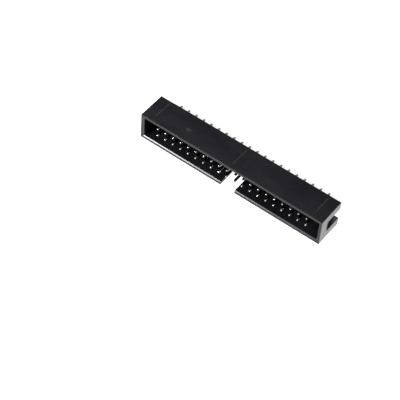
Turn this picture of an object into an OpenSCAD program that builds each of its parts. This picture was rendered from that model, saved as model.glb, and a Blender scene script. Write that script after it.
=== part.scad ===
// Box header for flat-cable sockets: two rows of square pins in a moulded shroud, soldered upright.
// Millimetres. X runs along the rows, +Z is the side where the cable socket plugs in, and the wall
// with the key slot faces -Y. The origin is on the board's surface, at the centre of the pin field.

/* [Pin field] */
// Distance from one pin to the next, along a row and between the rows
pitch = 2.54; // [2.2:0.01:3]
// Pins in each row
columns = 20; // [4:1:29]

/* [Pins] */
// Side of the square wire
pin_w = 0.64; // [0.4:0.01:0.8]
// Side of the flat left on a coined tip
pin_tip_w = 0.3; // [0.1:0.01:0.38]
// Length of the taper at each tip
pin_taper = 0.6; // [0.2:0.05:1.2]
// How far the mating tips stay below the rim
pin_recess = 0.8; // [0.3:0.1:2]
// How far the solder tails reach below the board's surface
tail_len = 2.6; // [2:0.1:4]
// Gap on each side between a pin and its hole, nothing for a press fit
pin_fit = 0; // [0:0.005:0.05]

/* [Housing] */
// Width over the two long walls
body_w = 8.8; // [8:0.1:11]
// Height from the underside of the base to the rim, without the feet
body_h = 8.8; // [8:0.1:12]
// Distance from the last pin's axis to the end face
end_reach = 5.08; // [4.5:0.01:8]
// Thickness of the long walls
side_wall = 1.1; // [0.8:0.05:1.4]
// Thickness of the end walls at the rim
end_wall = 1; // [0.8:0.05:1.3]
// Thickness of the base that holds the pins
base_t = 2.4; // [1.5:0.1:3]
// Chamfer round the mouth of the cavity
mouth_chamfer = 0.3; // [0.1:0.05:0.5]

/* [Key slot] */
// Width of the slot that takes the socket's key
key_w = 4.5; // [3.5:0.1:5]

/* [End recesses] */
// Width of the recess in each end face
recess_w = 3.7; // [3:0.1:4.4]
// Depth of the recess beside the board
recess_depth = 1.55; // [0.8:0.05:1.8]
// Height of the recess's upright part
recess_straight = 1.9; // [0.8:0.1:2.2]
// Height at which the sloping part runs out into the end face
recess_h = 5.9; // [4:0.1:6.5]
// Plastic left between the recess and the cavity
recess_wall = 0.7; // [0.5:0.05:0.8]

/* [Feet] */
// Height of the feet that hold the base off the board
foot_h = 0.4; // [0.2:0.05:0.8]
// Size of a foot along the rows
foot_l = 1; // [0.6:0.1:1.2]
// Size of a foot across the rows
foot_w = 3.2; // [2:0.1:3.6]

/* [Pin mark] */
// Side of the sunk triangle on the wall opposite the key slot
mark_w = 1.8; // [1:0.1:2.4]
// Height of the triangle, which points to the rim
mark_h = 1.3; // [0.8:0.1:2]
// Distance from the rim to the triangle's point
mark_below_rim = 2.6; // [1.5:0.1:4]
// Distance from the first pin's axis to the triangle's point, along the rows
mark_from_pin = 7.9; // [0:0.1:7.9]
// Depth of the triangle
mark_depth = 0.12; // [0.05:0.01:0.3]

/* [Hidden] */
pin_count = 2 * columns;
pin_names = [for (n = [1 : pin_count]) str("pin_", n < 10 ? "0" : "", n)];

body_l = (columns - 1) * pitch + 2 * end_reach;
base_z = foot_h;
floor_z = base_z + base_t;
rim_z = base_z + body_h;
cavity_l = body_l - 2 * end_wall;
cavity_w = body_w - 2 * side_wall;
hole_w = pin_w + 2 * pin_fit;
over = 1; // how far a cut runs past the face that it opens

// Place of pin n: odd numbers stand in the row beside the key slot, starting at the -X end.
function pin_x(n) = (floor((n - 1) / 2) - (columns - 1) / 2) * pitch;
function pin_y(n) = (n % 2 == 1 ? -0.5 : 0.5) * pitch;

// A 2D outline drawn in the XZ plane, extruded along Y and centred on it
module across(width) {
    rotate([90, 0, 0])
        linear_extrude(height = width, center = true)
            children();
}

// A 2D outline drawn in the YZ plane, extruded along X and centred on it
module along(length) {
    rotate([90, 0, 90])
        linear_extrude(height = length, center = true)
            children();
}

// Square wire with all four sides coined to a blunt point at both ends
module pin(n) {
    translate([pin_x(n), pin_y(n), 0])
        color("#d9d0b4")
            intersection() {
                across(pin_w) pin_outline();
                along(pin_w) pin_outline();
            }
}

module pin_outline() {
    top = rim_z - pin_recess;
    polygon([
        [-pin_tip_w / 2, -tail_len],
        [pin_tip_w / 2, -tail_len],
        [pin_w / 2, -tail_len + pin_taper],
        [pin_w / 2, top - pin_taper],
        [pin_tip_w / 2, top],
        [-pin_tip_w / 2, top],
        [-pin_w / 2, top - pin_taper],
        [-pin_w / 2, -tail_len + pin_taper]
    ]);
}

// Moulded shroud and base in one piece
module housing() {
    color("#26262b")
        difference() {
            union() {
                translate([-body_l / 2, -body_w / 2, base_z])
                    cube([body_l, body_w, body_h]);
                feet();
            }
            cavity();
            key_slot();
            end_recesses();
            pin_holes();
            pin_mark();
        }
}

// Space for the socket: a box with a bevelled mouth, kept clear of the backs of the end recesses
module cavity() {
    difference() {
        translate([-cavity_l / 2, -cavity_w / 2, floor_z])
            cube([cavity_l, cavity_w, body_h]);
        end_recesses(grow = recess_wall);
    }
    intersection() {
        across(body_w) mouth_outline(cavity_l / 2);
        along(body_l) mouth_outline(cavity_w / 2);
    }
}

module mouth_outline(half) {
    wide = half + mouth_chamfer;
    polygon([
        [-half, rim_z - mouth_chamfer],
        [half, rim_z - mouth_chamfer],
        [wide, rim_z],
        [wide, rim_z + over],
        [-wide, rim_z + over],
        [-wide, rim_z]
    ]);
}

// Slot for the socket's key, from the rim down to the floor of the cavity
module key_slot() {
    translate([-key_w / 2, -body_w / 2 - over, floor_z])
        cube([key_w, side_wall + 2 * over, body_h]);
}

// Recess in each end face, open to the board, whose back slopes out to the face
module end_recesses(grow = 0) {
    back = body_l / 2 - recess_depth - grow;
    face = body_l / 2 - grow;
    for (side = [0, 1])
        mirror([side, 0, 0])
            across(recess_w + 2 * grow)
                polygon([
                    [back, base_z - foot_h - over],
                    [back, base_z + recess_straight],
                    [face, base_z + recess_h],
                    [body_l / 2 + over, base_z + recess_h],
                    [body_l / 2 + over, base_z - foot_h - over]
                ]);
}

// One foot in the middle and one beside each end recess
module feet() {
    end_x = body_l / 2 - recess_depth - foot_l / 2;
    for (x = [-end_x, 0, end_x])
        translate([x - foot_l / 2, -foot_w / 2, 0])
            cube([foot_l, foot_w, foot_h]);
}

module pin_holes() {
    for (n = [1 : pin_count])
        translate([pin_x(n) - hole_w / 2, pin_y(n) - hole_w / 2, -over])
            cube([hole_w, hole_w, floor_z + 2 * over]);
}

// Sunk triangle that tells the rows' first end
module pin_mark() {
    point_z = rim_z - mark_below_rim;
    translate([pin_x(1) + mark_from_pin, body_w / 2, point_z])
        across(2 * mark_depth)
            polygon([[0, 0], [-mark_w / 2, -mark_h], [mark_w / 2, -mark_h]]);
}

housing();
for (n = [1 : pin_count])
    pin(n);
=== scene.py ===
import math

import bmesh
import bpy
from mathutils import Matrix, Vector


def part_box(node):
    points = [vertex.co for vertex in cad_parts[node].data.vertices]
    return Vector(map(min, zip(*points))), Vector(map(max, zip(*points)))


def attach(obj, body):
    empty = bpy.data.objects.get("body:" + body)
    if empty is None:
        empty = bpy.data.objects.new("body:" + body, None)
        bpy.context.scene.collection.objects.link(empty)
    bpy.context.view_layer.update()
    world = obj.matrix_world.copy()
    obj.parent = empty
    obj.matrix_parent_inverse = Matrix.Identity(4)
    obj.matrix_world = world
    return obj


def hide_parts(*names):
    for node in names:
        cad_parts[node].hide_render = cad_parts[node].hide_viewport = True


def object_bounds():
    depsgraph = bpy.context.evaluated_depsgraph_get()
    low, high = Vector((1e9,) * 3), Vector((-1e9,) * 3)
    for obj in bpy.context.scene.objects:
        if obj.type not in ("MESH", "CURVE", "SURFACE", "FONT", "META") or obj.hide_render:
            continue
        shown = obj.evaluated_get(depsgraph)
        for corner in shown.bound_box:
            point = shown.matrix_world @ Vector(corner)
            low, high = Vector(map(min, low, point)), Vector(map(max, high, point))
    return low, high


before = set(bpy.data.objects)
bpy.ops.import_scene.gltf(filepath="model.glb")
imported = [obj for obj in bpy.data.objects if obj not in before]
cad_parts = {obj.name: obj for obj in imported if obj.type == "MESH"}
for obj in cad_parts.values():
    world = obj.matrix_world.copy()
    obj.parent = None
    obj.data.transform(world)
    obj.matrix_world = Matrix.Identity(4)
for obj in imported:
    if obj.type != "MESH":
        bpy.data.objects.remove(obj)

cad_low, cad_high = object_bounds()
scene = bpy.context.scene
mm = 0.001

# ---------------------------------------------------------------------------------------------
# Housing: one moulding of black glass-filled polyester, with the base, the four walls, the key
# slot and the end recesses in one piece. The tool leaves every corner slightly round and a fine
# satin skin on the outside. The pins are pressed through it, and it has no fixings of its own.
# ---------------------------------------------------------------------------------------------
housing_low, housing_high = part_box("housing")
corner_radius = 0.07 * mm
mark_corner_radius = 0.03 * mm
mark_middle = Vector((-16.3 * mm, housing_high.y, housing_high.z - 3.2 * mm))
mark_reach = 1.3 * mm
same_place = 0.0001 * mm


def baked(piece):
    """The piece with its modifiers turned into plain mesh."""
    depsgraph = bpy.context.evaluated_depsgraph_get()
    mesh = bpy.data.meshes.new_from_object(piece.evaluated_get(depsgraph), depsgraph=depsgraph)
    piece.modifiers.clear()
    piece.data = mesh
    mesh.name = piece.name
    return piece


def faces_stay_flat(piece):
    """Shade the wide faces flat and turn the light only on the narrow rounded edges."""
    shading = piece.modifiers.new("faces_stay_flat", "WEIGHTED_NORMAL")
    shading.mode = "FACE_AREA"
    shading.weight = 100


def placed(name, mesh):
    """A new object with this mesh, in the scene."""
    piece = bpy.data.objects.new(name, mesh)
    scene.collection.objects.link(piece)
    return piece


shell = bmesh.new()
shell.from_mesh(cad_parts["housing"].data)
bmesh.ops.remove_doubles(shell, verts=shell.verts, dist=same_place)
bmesh.ops.dissolve_limit(
    shell, angle_limit=math.radians(1), verts=shell.verts, edges=shell.edges, delimit={"NORMAL"}
)
rounding = shell.edges.layers.float.new("bevel_weight_edge")
for face in shell.faces:
    face.smooth = True
for edge in shell.edges:
    if edge.calc_face_angle(0) > math.radians(5):
        middle = (edge.verts[0].co + edge.verts[1].co) / 2
        on_mark = (middle - mark_middle).length < mark_reach
        edge[rounding] = mark_corner_radius / corner_radius if on_mark else 1
housing_mesh = bpy.data.meshes.new("moulded_housing")
shell.to_mesh(housing_mesh)
shell.free()
housing = placed("moulded_housing", housing_mesh)
bevel = housing.modifiers.new("round_corners", "BEVEL")
bevel.width = corner_radius
bevel.segments = 3
bevel.limit_method = "WEIGHT"
bevel.use_clamp_overlap = False
faces_stay_flat(housing)
baked(housing)


class Wire:
    """An output of a node. Arithmetic on it adds Math nodes to the same tree."""

    def __init__(self, graph, socket):
        self.graph = graph
        self.socket = socket

    def out(self, name):
        return Wire(self.graph, self.socket.node.outputs[name])

    def math(self, operation, *terms):
        return self.graph.node("ShaderNodeMath", {"operation": operation}, dict(enumerate(terms)))

    def __add__(self, other):
        return self.math("ADD", self, other)

    def __radd__(self, other):
        return self.math("ADD", other, self)

    def __sub__(self, other):
        return self.math("SUBTRACT", self, other)

    def __rsub__(self, other):
        return self.math("SUBTRACT", other, self)

    def __mul__(self, other):
        return self.math("MULTIPLY", self, other)

    def __rmul__(self, other):
        return self.math("MULTIPLY", other, self)

    def __truediv__(self, other):
        return self.math("DIVIDE", self, other)

    def __abs__(self):
        return self.math("ABSOLUTE", self)

    def __lt__(self, other):
        return self.math("LESS_THAN", self, other)

    def __gt__(self, other):
        return self.math("GREATER_THAN", self, other)

    def step(self, low, high):
        """0 below low, 1 above high, and a smooth rise between them."""
        return self.graph.node(
            "ShaderNodeMapRange",
            {"interpolation_type": "SMOOTHSTEP"},
            {"Value": self, "From Min": low, "From Max": high},
        )


class Graph:
    """A node tree, built one node at a time."""

    def __init__(self, tree):
        self.tree = tree

    def node(self, kind, settings=None, values=None):
        made = self.tree.nodes.new(kind)
        for name, setting in (settings or {}).items():
            setattr(made, name, setting)
        for name, value in (values or {}).items():
            if isinstance(value, Wire):
                self.tree.links.new(value.socket, made.inputs[name])
            else:
                made.inputs[name].default_value = value
        return Wire(self, made.outputs[0]) if made.outputs else made


class Material(Graph):
    """A surface finish whose pattern lies on the piece, in millimetres."""

    def __init__(self, name):
        self.material = bpy.data.materials.new(name)
        self.material.use_nodes = True
        self.material.node_tree.nodes.clear()
        super().__init__(self.material.node_tree)

    def place(self, stretch=(1, 1, 1)):
        """The place on the piece in millimetres, squeezed by stretch along each axis."""
        return self.node(
            "ShaderNodeMapping",
            {"vector_type": "POINT"},
            {
                "Vector": self.node("ShaderNodeTexCoord").out("Object"),
                "Scale": [1 / mm * s for s in stretch],
            },
        )

    def noise(self, per_mm, detail=2, stretch=(1, 1, 1)):
        return self.node(
            "ShaderNodeTexNoise",
            None,
            {"Vector": self.place(stretch), "Scale": per_mm, "Detail": detail},
        )

    def mix(self, share, first, second):
        """The first colour, turned into the second where share is 1."""
        first, second = (c if isinstance(c, Wire) else (*c, 1) for c in (first, second))
        return self.node(
            "ShaderNodeMix", {"data_type": "RGBA"}, {"Factor": share, 6: first, 7: second}
        ).out(2)

    def surface(self, **finish):
        shader = self.node("ShaderNodeBsdfPrincipled", None, finish)
        self.node("ShaderNodeOutputMaterial", None, {"Surface": shader})
        return self.material


def moulded_polyester():
    """Black polyester: satin, a little cloudy where the melt flowed, witness lines with painted
    sheen.
    """
    plastic = Material("moulded_polyester")
    axes = plastic.node("ShaderNodeSeparateXYZ", None, {"Vector": plastic.place()})
    along, across, up = axes.out("X"), axes.out("Y"), axes.out("Z")
    wall = housing_high.y / mm
    core, edge = 0.07, 0.27
    outer_face = across > (wall - 0.02)
    end_line = 1 - abs(abs(along) - 25.8).step(core, edge)
    end_line = end_line * up.step(0.7, 1.5) * (1 - up.step(6, 8))
    middle_line = 1 - abs(along).step(core, edge)
    middle_line = middle_line * up.step(1.2, 1.8) * (1 - up.step(7.6, 8.4))
    witness = (end_line + middle_line) * outer_face
    on_mark = (abs(along - mark_middle.x / mm) < 1) * (abs(up - mark_middle.z / mm) < 0.9)
    mark_floor = on_mark * (across > (wall - 0.2)) * (across < (wall - 0.07))
    marks = witness + mark_floor
    flow = plastic.noise(0.22, 3, (0.35, 1, 1))
    grain = plastic.noise(14, 2)
    # The flow cloud is the plastic's own tone; the witness lines and the mark's floor are also
    # painted paler, a painted sheen on top of their real bump and roughness.
    cloud_and_painted_sheen = flow.step(0.3, 0.7) * 0.25 + marks * 0.6
    tone = plastic.mix(cloud_and_painted_sheen, (0.008, 0.008, 0.0115), (0.032, 0.032, 0.038))
    bump = plastic.node(
        "ShaderNodeBump",
        None,
        {"Strength": 0.27, "Distance": 0.012 * mm, "Height": grain + 1.6 * witness},
    )
    return plastic.surface(**{
        "Base Color": tone,
        "Roughness": 0.17 + 0.08 * flow + 0.05 * grain + 0.15 * marks,
        "Normal": bump,
        "IOR": 1.56,
    })


housing.data.materials.clear()
housing.data.materials.append(moulded_polyester())
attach(housing, "root")
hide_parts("housing")

# ---------------------------------------------------------------------------------------------
# Contact pins: square drawn wire of brass, plated before it is cut, with both ends coined to a
# blunt point and sheared flat. Two rows of them are pressed through the base, which grips them.
# ---------------------------------------------------------------------------------------------
pin_names = sorted(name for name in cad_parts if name.startswith("pin_"))
first_low, first_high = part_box(pin_names[0])
last_low, last_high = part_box(pin_names[-1])
wire_side = first_high.x - first_low.x
wire_corner = 0.035 * mm
tip_side = 0.3 * mm
taper = 0.6 * mm


def geometry_graph(name, inputs):
    """An empty Geometry Nodes tree with these named size inputs, and their wires."""
    tree = bpy.data.node_groups.new(name, "GeometryNodeTree")
    for label, kind in inputs.items():
        tree.interface.new_socket(label, in_out="INPUT", socket_type=kind)
    tree.interface.new_socket("Geometry", in_out="OUTPUT", socket_type="NodeSocketGeometry")
    graph = Graph(tree)
    group = graph.node("NodeGroupInput")
    return graph, {label: group.out(label) for label in inputs}


def pin_field_tree(metal):
    graph, size = geometry_graph(
        "pin_field",
        {
            "Columns": "NodeSocketInt",
            "Pitch": "NodeSocketFloat",
            "Wire Side": "NodeSocketFloat",
            "Tip Side": "NodeSocketFloat",
            "Taper": "NodeSocketFloat",
            "Tail Tip": "NodeSocketFloat",
            "Mating Tip": "NodeSocketFloat",
        },
    )
    section = graph.node(
        "GeometryNodeCurvePrimitiveQuadrilateral",
        None,
        {"Width": size["Wire Side"], "Height": size["Wire Side"]},
    )
    axis = graph.node("GeometryNodeCurvePrimitiveLine")
    axis = graph.node("GeometryNodeSubdivideCurve", None, {"Curve": axis, "Cuts": 2})
    index = graph.node("GeometryNodeInputIndex")

    def by_ring(*values):
        """One value for each of the four rings of a pin, from the tail's tip upwards."""
        switch = graph.node("GeometryNodeIndexSwitch", {"data_type": "FLOAT"}, {"Index": index})
        switch.socket.node.index_switch_items.new()
        switch.socket.node.index_switch_items.new()
        for ring, value in enumerate(values, start=1):
            if isinstance(value, Wire):
                graph.tree.links.new(value.socket, switch.socket.node.inputs[ring])
            else:
                switch.socket.node.inputs[ring].default_value = value
        return switch

    height = by_ring(
        size["Tail Tip"],
        size["Tail Tip"] + size["Taper"],
        size["Mating Tip"] - size["Taper"],
        size["Mating Tip"],
    )
    narrow = size["Tip Side"] / size["Wire Side"]
    width = by_ring(narrow, 1.0, 1.0, narrow)
    axis = graph.node(
        "GeometryNodeSetPosition",
        None,
        {"Geometry": axis, "Position": graph.node("ShaderNodeCombineXYZ", None, {"Z": height})},
    )
    pin = graph.node(
        "GeometryNodeCurveToMesh",
        None,
        {"Curve": axis, "Profile Curve": section, "Scale": width, "Fill Caps": True},
    )
    places = graph.node(
        "GeometryNodeMeshGrid",
        None,
        {
            "Size X": (size["Columns"] - 1) * size["Pitch"],
            "Size Y": size["Pitch"],
            "Vertices X": size["Columns"],
            "Vertices Y": 2,
        },
    )
    field = graph.node("GeometryNodeInstanceOnPoints", None, {"Points": places, "Instance": pin})
    field = graph.node("GeometryNodeRealizeInstances", None, {"Geometry": field})
    field = graph.node(
        "GeometryNodeSetShadeSmooth", None, {"Geometry": field, "Shade Smooth": True}
    )
    field = graph.node("GeometryNodeSetMaterial", None, {"Geometry": field, "Material": metal})
    graph.node("NodeGroupOutput", None, {"Geometry": field})
    return graph.tree


def plated_wire():
    """Plated brass: bright above, tips with a painted highlight, duller tails, drawn lines along
    the wire.
    """
    metal = Material("plated_wire")
    up = metal.node("ShaderNodeSeparateXYZ", None, {"Vector": metal.place()}).out("Z")
    drawn = metal.noise(9, 2, (1, 1, 0.06))
    cloud = metal.noise(0.9, 2)
    cut = 0.06
    # The coined tip flats are painted near white, a painted highlight.
    painted_tip_highlight = up > (first_high.z / mm - cut)
    tail = up < 0
    sheared_end = up < (first_low.z / mm + cut)
    plating = metal.mix(cloud, (0.5, 0.48, 0.41), (0.43, 0.4, 0.33))
    above = metal.mix(painted_tip_highlight, plating, (0.94, 0.92, 0.87))
    below = metal.mix(sheared_end, (0.2, 0.19, 0.15), (0.4, 0.32, 0.2))
    tone = metal.mix(tail, above, below)
    bump = metal.node(
        "ShaderNodeBump", None, {"Strength": 0.12, "Distance": 0.004 * mm, "Height": drawn}
    )
    return metal.surface(**{
        "Base Color": tone,
        "Metallic": 1.0,
        "Roughness": 0.09 + 0.06 * cloud + 0.12 * tail,
        "Normal": bump,
    })


pins = placed("contact_pins", bpy.data.meshes.new("contact_pins"))
stamping = pins.modifiers.new("pin_field", "NODES")
stamping.node_group = pin_field_tree(plated_wire())
columns = len(pin_names) // 2
sizes = {
    "Columns": columns,
    "Pitch": (last_low.x - first_low.x) / (columns - 1),
    "Wire Side": wire_side,
    "Tip Side": tip_side,
    "Taper": taper,
    "Tail Tip": first_low.z,
    "Mating Tip": first_high.z,
}
for socket in stamping.node_group.interface.items_tree:
    if socket.name in sizes:
        stamping[socket.identifier] = sizes[socket.name]
bevel = pins.modifiers.new("soft_edges", "BEVEL")
bevel.width = wire_corner
bevel.segments = 2
bevel.limit_method = "ANGLE"
bevel.angle_limit = math.radians(10)
faces_stay_flat(pins)
baked(pins)
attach(pins, "root")
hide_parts(*pin_names)

# ---------------------------------------------------------------------------------------------
# Studio: a white table under the tails and a pale surround. A soft lamp stands high over the rows'
# first end and a weaker one beyond the key slot. A dark card before the long wall, a painted shade,
# and a glowing pale one beside the last end, a painted reflection, show only in the part's gloss.
# ---------------------------------------------------------------------------------------------
table_half = 0.6


def laid_flat(name, corners, z):
    """A flat sheet facing up, with these corners."""
    mesh = bpy.data.meshes.new(name)
    mesh.from_pydata([(x, y, z) for x, y in corners], [], [tuple(range(len(corners)))])
    return placed(name, mesh)


def white_paper():
    """Matt white paper, brought up to the backdrop's white for the camera, gloss and glass."""
    paper = Material("white_paper")
    path = paper.node("ShaderNodeLightPath")
    mirrored = path.out("Is Glossy Ray") + path.out("Is Transmission Ray")
    matt = paper.node("ShaderNodeBsdfDiffuse", None, {"Color": (0.85, 0.85, 0.85, 1)})
    white = paper.node("ShaderNodeEmission", None, {"Color": (1, 1, 1, 1), "Strength": 1.0})
    sheet = paper.node("ShaderNodeMixShader", None, {0: mirrored, 1: matt, 2: white})
    lift = 0.9 * path.out("Is Camera Ray")
    glow = paper.node("ShaderNodeEmission", None, {"Color": (1, 1, 1, 1), "Strength": lift})
    both = paper.node("ShaderNodeAddShader", None, {0: sheet, 1: glow})
    paper.node("ShaderNodeOutputMaterial", None, {"Surface": both})
    return paper.material


table_corners = [
    (-table_half, -table_half), (table_half, -table_half),
    (table_half, table_half), (-table_half, table_half),
]
table = laid_flat("table", table_corners, cad_low.z)
table.data.materials.append(white_paper())

card_lift = 0.1 * mm


def card_on_table(name, near, far, brightness):
    """A glowing card on the table between two corners, seen only in gloss as a painted reflection.
    """
    corners = [(near[0], near[1]), (far[0], near[1]), (far[0], far[1]), (near[0], far[1])]
    card = laid_flat(name, corners, cad_low.z + card_lift)
    paper = Material(name)
    shine = paper.node(
        "ShaderNodeEmission", None, {"Color": (1, 1, 1, 1), "Strength": brightness(paper)}
    )
    paper.node("ShaderNodeOutputMaterial", None, {"Surface": shine})
    card.data.materials.append(paper.material)
    card.visible_camera = False
    card.visible_diffuse = False
    card.visible_shadow = False


def painted_shadow_fade(paper):
    """Painted shadow: dark beside the part and paler away from it, by the distance in millimetres.
    """
    away = paper.node("ShaderNodeSeparateXYZ", None, {"Vector": paper.place()}).out("Y")
    return 0.05 + 0.18 * away.step(6, 24)


def even_painted_glow(paper):
    """A painted reflection: one brightness all over, half as much again as plain white."""
    return 1.55


# A dark card seen only in gloss: painted shade mirrored in the long wall, where the table lies in
# shade.
card_on_table("dark_card", (-0.2, 0.0055), (0.2, 0.2), painted_shadow_fade)
# A glowing pale card seen only in gloss: a painted reflection in the last end face.
card_on_table("pale_card", (0.0295, -0.08), (0.08, 0.004), even_painted_glow)

world = bpy.data.worlds.new("surround")
world.use_nodes = True
world.node_tree.nodes.clear()
scene.world = world
surround = Graph(world.node_tree)
path = surround.node("ShaderNodeLightPath")
pale = surround.node("ShaderNodeBackground", None, {"Color": (1, 1, 1, 1), "Strength": 0.3})
white = surround.node("ShaderNodeBackground", None, {"Color": (1, 1, 1, 1), "Strength": 1.0})
seen = path.out("Is Camera Ray") + path.out("Is Glossy Ray") + path.out("Is Transmission Ray")
both = surround.node("ShaderNodeMixShader", None, {0: seen, 1: pale, 2: white})
surround.node("ShaderNodeOutputWorld", None, {"Surface": both})


def soft_lamp(name, place, side, radiance):
    """A square soft lamp at that place, turned to the part. Its brightness is 1 for plain white."""
    lamp = bpy.data.lights.new(name, "AREA")
    lamp.shape = "SQUARE"
    lamp.size = side
    lamp.energy = radiance * math.pi * side**2
    holder = bpy.data.objects.new(name, lamp)
    scene.collection.objects.link(holder)
    holder.location = place
    holder.rotation_euler = Vector(place).to_track_quat("Z", "Y").to_euler()


soft_lamp("high_lamp", (-0.25, 0.225, 0.315), 0.15, 33)
soft_lamp("side_lamp", (0.26, -0.26, 0.28), 0.2, 2.4)

# ---------------------------------------------------------------------------------------------
# Camera: a long lens close over the mating side, rolled so that the rows run down to the right.
# ---------------------------------------------------------------------------------------------
view_bearing = 65.6
view_height = 31.97
view_roll = -134.8
view_distance = 0.38
view_target = Vector((-4.80, -7.80, 14.43)) * mm

camera_data = bpy.data.cameras.new("camera")
camera_data.sensor_width = 36
camera_data.lens = 129
camera_data.clip_start = 0.01
camera_data.clip_end = 10
camera = bpy.data.objects.new("camera", camera_data)
scene.collection.objects.link(camera)
bearing, height = math.radians(view_bearing), math.radians(view_height)
back = Vector((
    math.cos(bearing) * math.cos(height), math.sin(bearing) * math.cos(height), math.sin(height)
))
camera.location = view_target + back * view_distance
camera.rotation_mode = "QUATERNION"
roll = Matrix.Rotation(math.radians(view_roll), 3, back)
camera.rotation_quaternion = (roll @ (-back).to_track_quat("-Z", "Y").to_matrix()).to_quaternion()
scene.camera = camera
scene.view_settings.view_transform = "Standard"
